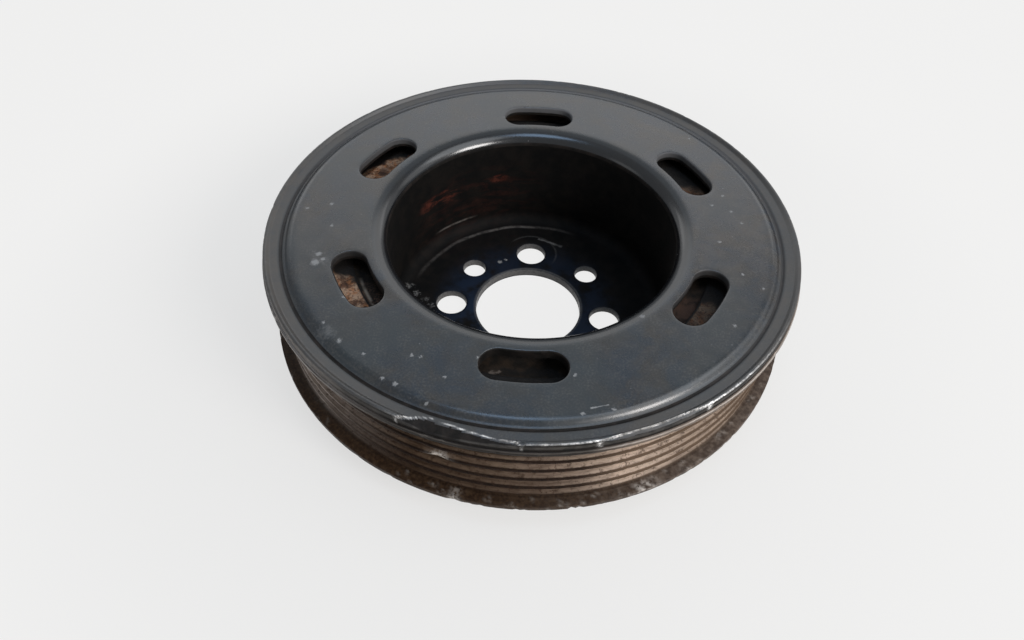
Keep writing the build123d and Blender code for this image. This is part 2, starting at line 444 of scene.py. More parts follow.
def rim_wear(p):
    r, a = polar(p)
    z = p[:, 2]
    outside = r > root_radius - 0.3
    rough = wander_where(outside, p, 1.6, 4, 4.0)
    slow = wander_where(outside, p, 12.0, 3, 8.0)
    crest = np.clip((r - root_radius) / (crest_radius - root_radius), 0, 1)
    pit = np.clip(rough - 0.3, 0, 1) * 0.3
    flange = outside & (r > crest_radius + 0.6)
    nick = np.where(flange, np.clip(rough + 0.4 * slow - 0.45, 0, 1) * 0.6, 0)
    # one crest and the rear flange are bruised at the front of the picture's left
    bruise = bump(a, 254.5, 1.6) * bump(z, belt_front - 3 * groove_pitch, 0.7) * 0.7
    bruise += bump(a, 258.0, 0.9) * bump(z, rim_back + 0.8, 0.8) * 0.5 * flange
    inward = np.where(outside, pit * crest + nick + bruise + 0.03 * np.abs(rough), 0)
    scale = (r - inward) / np.maximum(r, 1e-6)
    moved = np.column_stack([p[:, 0] * scale, p[:, 1] * scale, z])
    scuff = flange * bump(z, rim_back + 1.3, 0.5) * (bump(a, 295.0, 3.2) + 0.6 * bump(a, 305.0, 1.0))
    scuff = scuff * np.clip(0.3 + 2 * rough, 0, 1)
    bare = np.clip(bruise * 2.2 + scuff + np.where(flange, np.clip(nick * 0.8, 0, 1), 0), 0, 1)
    return moved, {"bare": bare, "crest": np.where(outside, crest, 0)}


# ------------------------------------------------------------------ iron ring
def lit_through(p, shift=0.0):
    """How much painted light falls through each window onto the surface behind it, showing its rust colour. Under a
    window's far side it is 0: a painted shadow, black.
    """
    a = polar(p)[1]
    window = (a // window_step).astype(int) % window_count
    strength = np.array([0.4, 0.3, 1.0, 1.0, 0.2, 0.27])[window]
    below = np.array([-0.5, 2.0, -6.5, -4.2, 0.8, -5.5])[window]
    middle = np.radians(window_first + window_step * window)
    x, y = p[:, 0] - window_radius * np.cos(middle), p[:, 1] - window_radius * np.sin(middle)
    lean = np.array([0.0, 0.0, 0.55, -0.3, 0.0, -0.6])[window]
    down = lean * x - y - below + 1.6 * wander(p, 3.0, 3, 4.4)
    return np.clip(0.5 + down / 3.0 + shift, 0, 1) * strength


def iron_shape():
    shape = Shape()
    shape.lathe(
        rounded([(iron_inside, iron_back), (iron_outside, iron_back), (iron_outside, iron_front - iron_fall),
                 (iron_inside + iron_flat, iron_front), (iron_inside, iron_front), (iron_inside, iron_back)],
                [0.8, 0.8, 0.8, 0.25], run=0.6, turn=18), ring_count)
    return shape


def iron_wear(p):
    r = polar(p)[0]
    front = p[:, 2] > iron_front - 5
    skin = wander_where(front, p, 1.1, 4, 1.0)
    lump = wander_where(front, p, 4.5, 3, 6.0)
    free = np.clip((r - iron_inside) / 0.8, 0, 1)
    down = np.where(front, (0.1 * np.abs(skin) + 0.16 * np.clip(lump, 0, 1)) * free, 0)
    moved = p.copy()
    moved[:, 2] -= down
    return moved, {"lit": np.where(front, lit_through(p), 0.5)}


# ------------------------------------------------------------------ rubber ring
def rubber_shape():
    shape = Shape()
    middle = (cup_outside + iron_inside) / 2
    half = (iron_inside - cup_outside) / 2
    t = np.linspace(-1, 1, 15)
    front = np.column_stack([middle + half * t, rubber_front - rubber_dish * (1 - t**2)])
    back = np.column_stack([middle - half * t, rubber_back + rubber_dish * (1 - t**2)])
    side = np.linspace(rubber_front, rubber_back, 10)[1:-1]
    outer = np.column_stack([np.full(len(side), iron_inside), side])
    inner = np.column_stack([np.full(len(side), cup_outside), side[::-1]])
    shape.lathe(np.concatenate([front, outer, back, inner, front[:1]]), cup_count)
    return shape


def rubber_wear(p):
    r = polar(p)[0]
    front = p[:, 2] > rubber_front - 2
    skin = wander_where(front, p, 2.5, 3, 2.0)
    free = np.clip(np.minimum(r - cup_outside, iron_inside - r), 0, 1)
    moved = p.copy()
    moved[:, 2] -= np.where(front, 0.12 * np.abs(skin) * free, 0)
    return moved, {"dusty": np.clip(0.5 + skin, 0, 1), "lit": np.where(front, lit_through(p, 0.2), 0.3)}


hub = hub_shape().made("hub_pressing", hub_wear)
rim = rim_shape().made("grooved_rim", rim_wear)
iron = iron_shape().made("iron_ring", iron_wear, 50.0)
rubber = rubber_shape().made("rubber_band", rubber_wear, 50.0)

pieces = ((hub, "hub_shell", "black_paint"), (rim, "belt_rim", "rusty_steel"),
          (iron, "inertia_ring", "rusty_iron"), (rubber, "rubber_ring", "rubber"))
for piece, node, slot in pieces:
    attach(piece, "root")
    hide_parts(node)
    print(piece.name, "triangles", sum(len(f.vertices) - 2 for f in piece.data.polygons))


# ------------------------------------------------------------------ materials
class Graph:
    """Builds one node material. Its methods take sockets or numbers, and return sockets."""

    def __init__(self, name):
        self.material = bpy.data.materials.new(name)
        self.material.use_nodes = True
        self.tree = self.material.node_tree
        self.tree.nodes.clear()
        self.out = self.add("ShaderNodeOutputMaterial")
        where = self.add("ShaderNodeTexCoord").outputs["Object"]
        self.mm = self.vector("SCALE", where, scale=1000.0)
        split = self.add("ShaderNodeSeparateXYZ", {0: self.mm})
        self.x, self.y, self.z = split.outputs
        self.r = self.math("SQRT", self.math("ADD", self.math("POWER", self.x, 2.0), self.math("POWER", self.y, 2.0)))
        self.angle = self.math("ARCTAN2", self.y, self.x)

    def add(self, kind, inputs=None, **settings):
        node = self.tree.nodes.new(kind)
        for key, value in settings.items():
            setattr(node, key, value)
        for key, value in (inputs or {}).items():
            if isinstance(value, bpy.types.NodeSocket):
                self.tree.links.new(value, node.inputs[key])
            else:
                node.inputs[key].default_value = value
        return node

    def math(self, kind, a, b=0.0, clamp=False):
        return self.add("ShaderNodeMath", {0: a, 1: b}, operation=kind, use_clamp=clamp).outputs[0]

    def vector(self, kind, a, b=None, scale=None):
        inputs = {0: a}
        if b is not None:
            inputs[1] = b
        if scale is not None:
            inputs["Scale"] = scale
        node = self.add("ShaderNodeVectorMath", inputs, operation=kind)
        return node.outputs["Value" if kind in ("DISTANCE", "LENGTH", "DOT_PRODUCT") else "Vector"]

    def noise(self, size, detail=3.0, rough=0.55, twist=0.0, at=None):
        inputs = {"Vector": at or self.mm, "Scale": 1.0 / size, "Detail": detail, "Roughness": rough,
                  "Distortion": twist}
        return self.add("ShaderNodeTexNoise", inputs).outputs["Fac"]

    def step(self, value, low, high):
        """0 below low, rising smoothly to 1 at high. low may be the larger, and then it falls."""
        inputs = {"Value": value, "From Min": low, "From Max": high, "To Min": 0.0, "To Max": 1.0}
        return self.add("ShaderNodeMapRange", inputs, interpolation_type="SMOOTHSTEP").outputs["Result"]

    def mix(self, share, a, b):
        node = self.add("ShaderNodeMix", data_type="RGBA")
        for key, value in ((0, share), (6, a), (7, b)):
            if isinstance(value, bpy.types.NodeSocket):
                self.tree.links.new(value, node.inputs[key])
            else:
                node.inputs[key].default_value = value if key == 0 else (*value, 1.0)
        return node.outputs[2]

    def blend(self, share, a, b):
        return self.add("ShaderNodeMix", {0: share, 2: a, 3: b}, data_type="FLOAT").outputs[0]

    def joined(self, kind, values):
        total = values[0]
        for value in values[1:]:
            total = self.math(kind, total, value)
        return total

    def product(self, *values):
        return self.joined("MULTIPLY", values)

    def most(self, *values):
        return self.joined("MAXIMUM", values)

    def away(self, value, middle):
        return self.math("ABSOLUTE", self.math("SUBTRACT", value, middle))

    def other(self, share):
        return self.math("SUBTRACT", 1.0, share)

    def shaken(self, value, noise, amount):
        """A value that strays to both sides with a noise."""
        return self.math("ADD", value, self.math("MULTIPLY", self.math("SUBTRACT", noise, 0.5), amount))

    def named(self, name):
        return self.add("ShaderNodeAttribute", attribute_name=name).outputs["Fac"]

    def ring(self, radius, width, height=None, spread=None):
        """1 on a circle round the axis, fading to 0 at a width from it."""
        away = self.away(self.r, radius)
        if height is not None:
            up = self.math("DIVIDE", self.away(self.z, height), spread / width)
            away = self.math("MAXIMUM", away, up)
        return self.step(away, width, 0.0)

    def marks(self, places, shake=0.5):
        """1 on small marks, each given by the place x, y seen along the axis and its size."""
        flat = self.vector("MULTIPLY", self.mm, (1.0, 1.0, 0.0))
        moved = self.add("ShaderNodeTexNoise", {"Vector": self.mm, "Scale": 1.6, "Detail": 3.0}).outputs["Color"]
        moved = self.vector("SCALE", self.vector("SUBTRACT", moved, (0.5, 0.5, 0.5)), scale=shake * 2)
        flat = self.vector("MULTIPLY", self.vector("ADD", flat, moved), (1.0, 1.0, 0.0))
        total = 0.0
        for x, y, size in places:
            near = self.step(self.vector("DISTANCE", flat, (x, y, 0.0)), size, size * 0.35)
            total = self.math("MAXIMUM", total, near)
        return total

    def stroke(self, start, end, width, shake=0.6):
        """1 along a straight mark seen along the axis, fading to 0 at a width from it."""
        (ax, ay), (bx, by) = start, end
        long = math.hypot(bx - ax, by - ay)
        ux, uy = (bx - ax) / long, (by - ay) / long
        at = self.vector("SUBTRACT", self.mm, (ax, ay, 0.0))
        along = self.vector("DOT_PRODUCT", at, (ux, uy, 0.0))
        across = self.math("ABSOLUTE", self.vector("DOT_PRODUCT", at, (-uy, ux, 0.0)))
        across = self.shaken(across, self.noise(1.5), shake)
        past = self.math("SUBTRACT", self.away(along, long / 2), long / 2)
        return self.step(self.math("MAXIMUM", across, past), width, width * 0.3)

    def around(self, knots):
        """A value that depends on the angle round the axis, given at angles in degrees from 0 to 360."""
        turn = self.math("FRACT", self.math("ADD", self.math("DIVIDE", self.angle, 2 * math.pi), 1.0))
        node = self.add("ShaderNodeValToRGB", {0: turn})
        ramp = node.color_ramp
        for angle, value in knots[1:-1]:
            ramp.elements.new(angle / 360)
        for place, (angle, value) in zip(ramp.elements, knots):
            place.position = angle / 360
            place.color = (value, value, value, 1.0)
        return self.add("ShaderNodeSeparateColor", {0: node.outputs[0]}).outputs[0]

    def surface(self, color, rough, height, metal=0.0, depth=0.05, **fixed):
        lifted = self.add("ShaderNodeBump", {"Height": height, "Distance": depth * MM, "Strength": 1.0})
        shader = self.add("ShaderNodeBsdfPrincipled", {"Base Color": color, "Roughness": rough, "Metallic": metal,
                                                       "Normal": lifted.outputs[0]})
        for key, value in fixed.items():
            shader.inputs[key.replace("_", " ")].default_value = value
        self.tree.links.new(shader.outputs[0], self.out.inputs[0])
        return self.material


# Small pale marks on the hub's face: place seen along the axis, and size
specks = [(-53.9, 2.9, 0.7), (-52.1, -5.6, 0.5), (-59.9, 0.8, 0.6), (-53.1, -16.5, 1.1), (-53.4, -19.5, 1.5),
          (-51.6, -18.2, 0.8), (-65.3, -20.2, 0.7), (-42.4, -44.5, 0.8), (-46.9, -39.2, 0.6), (-25.2, -47.5, 0.6),
          (-23.2, -47.6, 0.5), (-30.8, -54.4, 0.6), (-27.7, -55.7, 0.7), (-10.5, -47.1, 0.5), (-17.2, -53.1, 0.5),
          (51.8, 14.9, 0.5), (48.4, 10.6, 0.5), (53.3, 8.4, 0.5), (55.5, 3.9, 0.5), (48.8, -3.9, 0.6),
          (53.1, -15.7, 0.6), (27.3, -31.6, 0.9), (48.8, -33.1, 0.6), (11.4, -50.4, 0.5), (19.9, -59.1, 0.6),
          (13.1, -60.8, 0.6), (68.6, -14.0, 0.6), (-44.0, -30.5, 0.5), (-36.2, -47.9, 0.5), (57.5, -20.3, 0.45),
          (45.0, 41.0, 0.45), (-20.4, -60.2, 0.45)]
# Dust that lies pale on black; on the hub's edge at the left it also stands for a painted reflection of the pale
# surroundings
pale_dust_and_sheen = (0.258, 0.232, 0.213)


def paint_material():
    g = Graph("worn_black_paint")
    fine, coarse, cloud = g.noise(0.5, 4), g.noise(4.0, 4), g.noise(26.0, 4, 0.6, 0.4)

    # paint in cooler and warmer clouds, with a thin film of dust
    paint = g.mix(g.step(g.noise(9.0, 5, 0.65, 0.5), 0.36, 0.66), (0.0077, 0.014, 0.024), (0.023, 0.018, 0.014))
    paint = g.mix(g.step(cloud, 0.35, 0.75), paint, (0.015, 0.021, 0.025))
    dust = g.product(g.blend(g.step(coarse, 0.4, 0.7), 0.35, 1.0), g.step(fine, 0.42, 0.68), 0.5)
    color = g.mix(dust, paint, (0.077, 0.075, 0.07))
    rough = g.blend(g.step(g.math("ADD", g.product(cloud, 0.5), g.product(coarse, 0.5)), 0.35, 0.65), 0.25, 0.33)

    # a warm film of dust lies on the annulus, except on its near side
    haze = g.around([(0, 1.0), (40, 0.9), (90, 0.8), (125, 0.6), (150, 0.3), (175, 0.7), (190, 1.0), (215, 0.4),
                     (235, 0.0), (290, 0.0), (305, 0.15), (330, 0.5), (360, 1.0)])
    color = g.mix(g.product(haze, g.step(g.r, 62.5, 60.5), g.blend(g.step(coarse, 0.35, 0.65), 0.085, 0.125)), color,
                  (0.21, 0.16, 0.12))

    # the lip's curve is darker, and it is the smoothest part
    lip = g.step(g.r, 42.6, 41.6)
    color = g.mix(g.product(lip, 0.85), color, (0.0045, 0.0052, 0.0065))
    rough = g.blend(lip, rough, 0.2)

    # pale specks, smudges and one scratch
    cells = g.add("ShaderNodeTexVoronoi", {"Vector": g.mm, "Scale": 0.42})
    rare = g.step(g.add("ShaderNodeSeparateColor", {0: cells.outputs["Color"]}).outputs[0], 0.86, 0.93)
    grain = g.product(g.step(cells.outputs["Distance"], 0.11, 0.03), rare, 0.5)
    front = g.step(g.z, 33.9, 34.2)
    marks = g.product(g.most(g.marks(specks, 0.8), g.stroke((14.9, -59.2), (18.6, -58.1), 0.22)), front)
    smudge = g.marks([(-53.0, -18.0, 3.4), (68.3, 4.5, 1.4), (-46.0, -42.0, 3.0)], 2.5)
    smudge = g.product(smudge, g.step(coarse, 0.42, 0.6), 0.22)
    marks = g.most(marks, g.most(grain, smudge))
    color = g.mix(g.product(marks, 0.36), color, (0.516, 0.516, 0.516))
    rough = g.blend(marks, rough, 0.7)

    # the coined ring and the bead carry a brownish film, except on the near side
    outer = g.step(g.r, crease_radius + 0.3, crease_radius + 1.2)
    film = g.around([(0, 0.6), (40, 0.85), (120, 0.85), (170, 0.7), (200, 0.95), (240, 0.7), (256, 0.1), (280, 0.0),
                     (292, 0.35), (330, 0.8), (360, 0.6)])
    film = g.product(film, outer, g.blend(g.step(g.noise(3.0, 4, 0.6), 0.3, 0.65), 0.55, 1.0))
    color = g.mix(film, color, (0.054, 0.046, 0.039))
    rough = g.blend(g.product(film, 0.8), rough, 0.5)
    dull = g.around([(0, 0.0), (238, 0.0), (256, 1.0), (284, 1.0), (300, 0.0), (360, 0.0)])
    rough = g.blend(g.product(dull, outer), rough, 0.55)

    # dirt in the crease, and painted shade along it
    crease = g.product(g.ring(crease_radius + 0.1, 1.0), g.step(g.z, 34.9, 34.3))
    color = g.mix(crease, color, (0.0039, 0.0039, 0.0039))
    rough = g.blend(crease, rough, 0.8)

    # bare edges
    torn = g.step(g.noise(0.6, 3), 0.3, 0.55)
    bare = g.math("MULTIPLY", g.named("bare"), g.blend(torn, 0.25, 1.3), clamp=True)
    chipped = g.product(g.named("chipped"), g.step(g.noise(1.6, 4), 0.3, 0.48))
    color = g.mix(chipped, color, (0.018, 0.01, 0.0065))
    color = g.mix(bare, color, (0.9, 0.875, 0.85))
    rough = g.blend(chipped, g.blend(bare, rough, 0.42), 0.7)
    height = g.math("ADD", g.product(fine, 0.25), g.product(coarse, 0.6))
    return g.surface(color, rough, height, g.product(bare, 0.35), 0.012, Specular_IOR_Level=0.9)


def edge_material():
    """The hub's turned-over edge and its back: dull, with a grey band round the edge. The crease takes it too, dark
    with dirt and painted shade, and the windows' walls, as painted shade.
    """
    g = Graph("scuffed_edge_and_shade")
    fine, coarse = g.noise(0.6, 4), g.noise(3.0, 4)
    color = g.mix(g.step(coarse, 0.35, 0.7), (0.0065, 0.0058, 0.0052), (0.018, 0.014, 0.012))
    # the crease is dark, with dirt and painted shade, on the near and left sides; on the far side it is painted pale,
    # as painted light, and hardly shows
    crease_painted_light = g.around([(0, 0.28), (55, 0.8), (125, 0.8), (165, 0.25), (200, 0.12), (225, 0.0), (300, 0.0), (322, 0.18),
                      (360, 0.28)])
    color = g.mix(g.product(crease_painted_light, g.step(g.z, 33.2, 33.5), g.step(g.r, 66.8, 66.2)), color, (0.135, 0.135, 0.139))
    band = g.product(g.step(g.away(g.z, 33.65), 0.6, 0.25), g.step(g.r, 69.0, 69.35))
    band = g.product(band, g.blend(g.step(coarse, 0.4, 0.6), 0.45, 1.0))
    color = g.mix(band, color, (0.058, 0.053, 0.048))
    # dust on the left, and there also a painted reflection of the pale surroundings
    dust = g.around([(0, 0.3), (150, 0.2), (185, 0.8), (226, 0.8), (238, 0.15), (250, 0.0), (330, 0.0), (360, 0.3)])
    dust = g.product(dust, g.blend(g.step(coarse, 0.3, 0.6), 0.6, 1.0), g.step(g.r, 68.0, 69.0))
    color = g.mix(dust, color, pale_dust_and_sheen)
    color = g.mix(g.math("MULTIPLY", g.named("bare"), g.step(fine, 0.3, 0.6), clamp=True), color, (0.9, 0.877, 0.852))
    return g.surface(color, g.blend(fine, 0.5, 0.8), g.math("ADD", fine, coarse), 0.0, 0.05, Specular_IOR_Level=0.19)


def cup_material():
    g = Graph("grimy_shaded_cup")
    fine, coarse = g.noise(0.5, 4), g.noise(4.0, 4)
    floor = g.product(g.step(g.z, 4.0, 3.0), g.step(g.r, 38.0, 35.0))
    # the inside is painted much darker than the paint outside: grime, and painted shade in the hollow
    color = g.mix(g.step(coarse, 0.35, 0.7), (0.0028, 0.0027, 0.0026), (0.0071, 0.0057, 0.0048))

    # two dim patches of rust on the wall, and thin smears of it
    def wall_patch(angle, wide, z, tall):
        off = g.away(g.angle, math.radians(angle))
        up = g.away(g.z, z)
        return g.product(g.step(off, math.radians(wide), math.radians(wide * 0.4)), g.step(up, tall, tall * 0.3))

    run = g.add("ShaderNodeCombineXYZ", {0: g.math("MULTIPLY", g.angle, 11.0), 1: g.r, 2: g.z}).outputs[0]
    smear = g.step(g.noise(2.6, 5, 0.65, 0.6, run), 0.44, 0.6)
    patch = g.most(wall_patch(137, 15, 19.0, 3.6), wall_patch(109, 8, 20.0, 2.2))
    patch = g.product(g.most(patch, g.product(wall_patch(120, 40, 14.0, 14.0), 0.16)), smear)
    rust = g.mix(g.step(g.noise(1.4, 4), 0.35, 0.7), (0.039, 0.01, 0.0065), (0.09, 0.026, 0.017))
    color = g.mix(patch, color, rust)

    # thin pale arcs of dust where the wall turns into the floor
    arc = g.around([(0, 0.0), (66, 0.0), (80, 0.55), (98, 1.0), (120, 0.9), (140, 0.5), (158, 0.3), (166, 0.0),
                    (360, 0.0)])
    dusty = g.blend(g.step(g.noise(1.6, 4, 0.7), 0.35, 0.6), 0.35, 1.0)
    drift = g.shaken(g.r, g.noise(14.0, 2), 1.6)
    foot = g.step(g.away(drift, 34.8), 0.9, 0.1)
    foot = g.product(foot, g.step(g.z, 5.0, 4.0), g.step(g.z, 1.5, 2.3), arc, dusty, 0.5)
    upper = g.ring(38.6, 0.8, 6.5, 0.6)
    upper = g.product(upper, g.around([(0, 0.0), (117, 0.0), (124, 0.7), (134, 0.7), (141, 0.0), (360, 0.0)]), dusty)
    color = g.mix(g.product(g.most(foot, upper), 0.75), color, pale_dust_and_sheen)

    # the floor is rubbed to blue steel round the bore, and holds part of the print of a bolt's head
    rubbed = g.product(floor, g.step(g.r, 30.0, 18.0), g.step(g.noise(6.0, 4, 0.6), 0.32, 0.62))
    sides = g.around([(0, 0.45), (40, 0.35), (110, 0.4), (165, 0.8), (215, 1.0), (300, 0.8), (360, 0.45)])
    rubbed = g.product(rubbed, sides)
    color = g.mix(rubbed, color, (0.018, 0.03, 0.057))
    away = g.vector("DISTANCE", g.vector("MULTIPLY", g.mm, (1.0, 1.0, 0.0)), (0.0, bolt_circle, 0.0))
    part = g.vector("DOT_PRODUCT", g.vector("SUBTRACT", g.mm, (0.0, bolt_circle, 0.0)), (0.55, 0.83, 0.0))
    part = g.step(part, -1.0, 4.0)
    printed = g.product(g.step(g.away(away, 7.8), 0.45, 0.1), part, 0.1)
    wiped = g.product(g.stroke((2.4, 29.2), (9.2, 26.4), 0.6, 1.2), 0.3)
    wiped = g.most(wiped, g.marks([(-9.4, 17.8, 0.9), (-7.6, 18.9, 0.6)], 0.8))
    dirt = g.marks([(-35.4, 5.6, 1.6), (-33.0, 2.8, 1.3), (-30.4, 0.4, 1.4), (-28.2, -1.8, 1.2), (-33.6, -3.0, 0.9)],
                   2.0)
    dirt = g.product(dirt, g.step(g.noise(1.0, 4), 0.35, 0.6), 0.4)
    pale = g.product(g.most(printed, wiped, dirt), g.step(g.z, 5.0, 3.6), dusty)
    color = g.mix(pale, color, (0.335, 0.323, 0.31))
    lip = g.product(g.ring(bore_radius + 0.3, 0.7), g.step(g.z, 1.0, 2.2))
    bare = g.math("MAXIMUM", g.named("punched"), g.product(lip, 0.5), clamp=True)
    bare = g.product(bare, g.blend(g.step(fine, 0.2, 0.6), 0.5, 1.0))
    color = g.mix(bare, color, (0.155, 0.148, 0.142))
    rough = g.blend(g.most(rubbed, bare), 0.72, 0.34)
    height = g.math("ADD", g.product(fine, 0.5), coarse)
    return g.surface(color, rough, height, g.product(rubbed, 0.5), 0.05, Specular_IOR_Level=0.13)


def groove_material():
    g = Graph("rusted_grooved_steel")
    round_it = g.add("ShaderNodeCombineXYZ", {0: g.math("MULTIPLY", g.angle, 12.0), 1: g.r, 2: g.z}).outputs[0]
    streak = g.noise(0.6, 4, 0.6, 0.0, round_it)
    fine, patch = g.noise(0.7, 4), g.noise(14.0, 4, 0.6)
    belt = g.product(g.step(g.z, rim_back + 1.0, rim_back + 1.7), g.step(g.r, 67.9, 67.5))

    # flanks given a polish by the belt and dusty on one side, with painted light on the right and painted reflection
    # on the dusty side; crests and roots dark
    pits = g.product(g.step(g.noise(1.3, 5, 0.75), 0.52, 0.64), 0.7)
    dark = g.mix(g.step(fine, 0.3, 0.7), (0.0077, 0.0039, 0.0026), (0.028, 0.015, 0.01))
    painted_flank_light = g.around([(0, 0.4), (150, 0.2), (240, 0.0), (265, 0.15), (280, 0.45), (290, 0.9), (298, 0.75),
                         (306, 0.45), (330, 0.35), (360, 0.3)])
    painted_light_right = g.around([(0, 0.4), (150, 0.2), (245, 0.0), (282, 0.05), (292, 0.9), (330, 0.7), (360, 0.4)])
    dark = g.mix(g.product(painted_light_right, 0.85), dark, (0.168, 0.114, 0.077))
    light = g.mix(g.step(streak, 0.3, 0.7), (0.058, 0.032, 0.017), (0.135, 0.085, 0.05))
    light = g.mix(g.product(painted_flank_light, g.blend(g.step(streak, 0.2, 0.6), 0.5, 1.0)), light, (0.71, 0.561, 0.452))
    light = g.mix(g.product(g.step(patch, 0.5, 0.75), 0.4), light, (0.09, 0.049, 0.032))
    # dust on the left side, together with a painted reflection of the pale surroundings
    dust = g.around([(0, 0.2), (40, 0.1), (150, 0.2), (185, 0.9), (224, 0.9), (237, 0.35), (248, 0.0), (320, 0.0),
                     (360, 0.2)])
    light = g.mix(dust, light, g.mix(g.step(patch, 0.4, 0.65), (0.581, 0.49, 0.432), (0.426, 0.348, 0.297)))
    # the lower grooves are darker, except where painted light falls on the right
    light = g.mix(g.product(g.step(g.z, 24.0, 12.0), g.other(painted_light_right), 0.45), light, (0.045, 0.022, 0.012))
    light = g.mix(pits, light, (0.052, 0.028, 0.018))
    flank = g.most(g.step(g.named("crest"), 0.15, 0.6), dust)
    color = g.mix(flank, dark, light)
    crest = g.product(g.step(g.shaken(g.r, fine, 0.3), 66.6, 66.95), g.other(g.product(dust, 0.95)))
    color = g.mix(g.product(crest, belt), color, dark)
    # painted shadow on the top flank, under the front flange, except on the right and the dusty left
    color = g.mix(g.product(g.step(g.z, 24.85, 25.1), belt, g.other(g.most(painted_flank_light, dust))), color, dark)

    # the rear flange: red-brown on the near and left sides, greyer on the right
    rear = g.product(g.step(g.z, 10.7, 10.2), g.step(g.r, 65.5, 67.0))
    grey = g.around([(0, 0.8), (30, 0.5), (150, 0.5), (180, 0.3), (205, 0.1), (262, 0.0), (285, 0.35), (300, 0.9),
                     (330, 1.0), (360, 0.8)])
    brown = g.mix(g.step(fine, 0.35, 0.7), (0.021, 0.01, 0.0045), (0.054, 0.03, 0.015))
    worn = g.mix(g.step(g.noise(1.6, 4, 0.6), 0.35, 0.7), (0.058, 0.041, 0.032), (0.135, 0.102, 0.08))
    color = g.mix(rear, color, g.mix(grey, brown, worn))

    # the front flange is dark, painted lighter on the right as painted reflection and pale with dust and painted
    # reflection on the left; one worn bright line runs round its corner, brighter on the right as painted reflection
    front = g.product(g.step(g.r, 68.0, 68.6), g.step(g.z, 30.9, 31.2))
    plain = g.mix(painted_light_right, (0.009, 0.0065, 0.0052), (0.168, 0.129, 0.103))
    color = g.mix(front, color, g.mix(g.product(dust, 0.9), plain, (0.361, 0.323, 0.297)))
    line = g.product(g.step(g.away(g.z, 32.3), 0.2, 0.08), g.step(g.r, 69.6, 69.8))
    line = g.product(line, g.blend(g.step(patch, 0.35, 0.6), 0.4, 1.0))
    color = g.mix(line, color, g.mix(painted_light_right, (0.058, 0.052, 0.046), (0.516, 0.452, 0.4)))
    bare = g.math("MULTIPLY", g.named("bare"), g.step(g.noise(0.8, 3), 0.3, 0.6), clamp=True)
    color = g.mix(bare, color, (0.645, 0.594, 0.542))
    rough = g.blend(g.step(streak, 0.3, 0.7), 0.36, 0.55)
    rough = g.blend(g.product(crest, belt), rough, 0.75)
    height = g.math("ADD", g.product(streak, 0.8), g.product(fine, 0.5))
    return g.surface(color, rough, height, g.product(flank, belt, 0.35), 0.05, Specular_IOR_Level=0.15)


def iron_material():
    g = Graph("rusted_cast_iron")
    fine, lump, patch = g.noise(0.6, 5, 0.65), g.noise(2.2, 5, 0.6), g.noise(5.0, 4, 0.6, 0.5)
    color = g.mix(g.step(lump, 0.38, 0.62), (0.026, 0.012, 0.0077), (0.116, 0.054, 0.031))
    tan = g.product(g.step(patch, 0.36, 0.56), g.step(fine, 0.3, 0.55))
    color = g.mix(tan, color, g.mix(g.step(lump, 0.35, 0.6), (0.335, 0.135, 0.052), (0.387, 0.265, 0.181)))
    color = g.mix(g.product(g.step(g.noise(3.0, 4, 0.6, 1.0), 0.58, 0.7), 0.85), color, (0.026, 0.013, 0.009))
    # painted shadow: the iron turns black where no painted light falls through a window
    color = g.mix(g.step(g.math("ADD", g.named("lit"), g.math("SUBTRACT", g.product(patch, 0.5), 0.25)), 0.05, 0.9),
                  (0.0071, 0.0054, 0.0045), color)
    gap = g.step(g.r, iron_inside + 0.75, iron_inside + 0.35)
    color = g.mix(gap, color, (0.0052, 0.0039, 0.0032))
    height = g.math("ADD", fine, lump)
    return g.surface(color, g.blend(fine, 0.65, 0.9), height, 0.0, 0.2, Specular_IOR_Level=0.39)


def rubber_material():
    g = Graph("dusty_rubber")
    fine, lump = g.noise(0.5, 4), g.noise(3.0, 4)
    color = g.mix(g.step(lump, 0.4, 0.7), (0.01, 0.0084, 0.0071), (0.031, 0.021, 0.014))
    # pale dust shows only where painted light falls through the windows
    color = g.mix(g.product(g.named("dusty"), g.step(fine, 0.4, 0.65), g.named("lit")), color, (0.142, 0.08, 0.054))
    # behind the right-hand windows the rubber is brown where painted light falls
    right = g.around([(0, 0.0), (300, 0.0), (312, 1.0), (346, 1.0), (358, 0.0), (360, 0.0)])
    brown = g.product(right, g.step(g.named("lit"), 0.05, 0.3), g.step(lump, 0.3, 0.6))
    color = g.mix(brown, color, (0.065, 0.037, 0.027))
    # a pale arc round the rubber, as bright as the painted light that falls on it
    arc = g.product(g.ring(46.6, 0.75), g.step(g.noise(5.0, 4), 0.34, 0.5), g.other(right))
    color = g.mix(g.product(arc, g.math("POWER", g.named("lit"), 0.7)), color, (0.31, 0.258, 0.206))
    color = g.mix(g.marks([(-7.3, -46.0, 1.1), (-5.9, -45.6, 0.7)], 1.2), color, (0.129, 0.103, 0.084))
    # a pale line behind the window at 30 degrees: painted light
    pale = g.stroke((41.6, 31.9), (45.7, 25.3), 0.45, 0.5)
    color = g.mix(g.product(pale, 0.8), color, (0.258, 0.194, 0.155))
    return g.surface(color, g.blend(fine, 0.6, 0.85), g.math("ADD", fine, lump), 0.0, 0.08, Specular_IOR_Level=0.26)


materials = paint_material(), groove_material(), iron_material(), rubber_material()
for (piece, node, _), material in zip(pieces, materials):
    for owner in (piece, frame["nodes"][node]):
        owner.data.materials.clear()
        owner.data.materials.append(material)
hub.data.materials.append(cup_material())
hub.data.materials.append(edge_material())

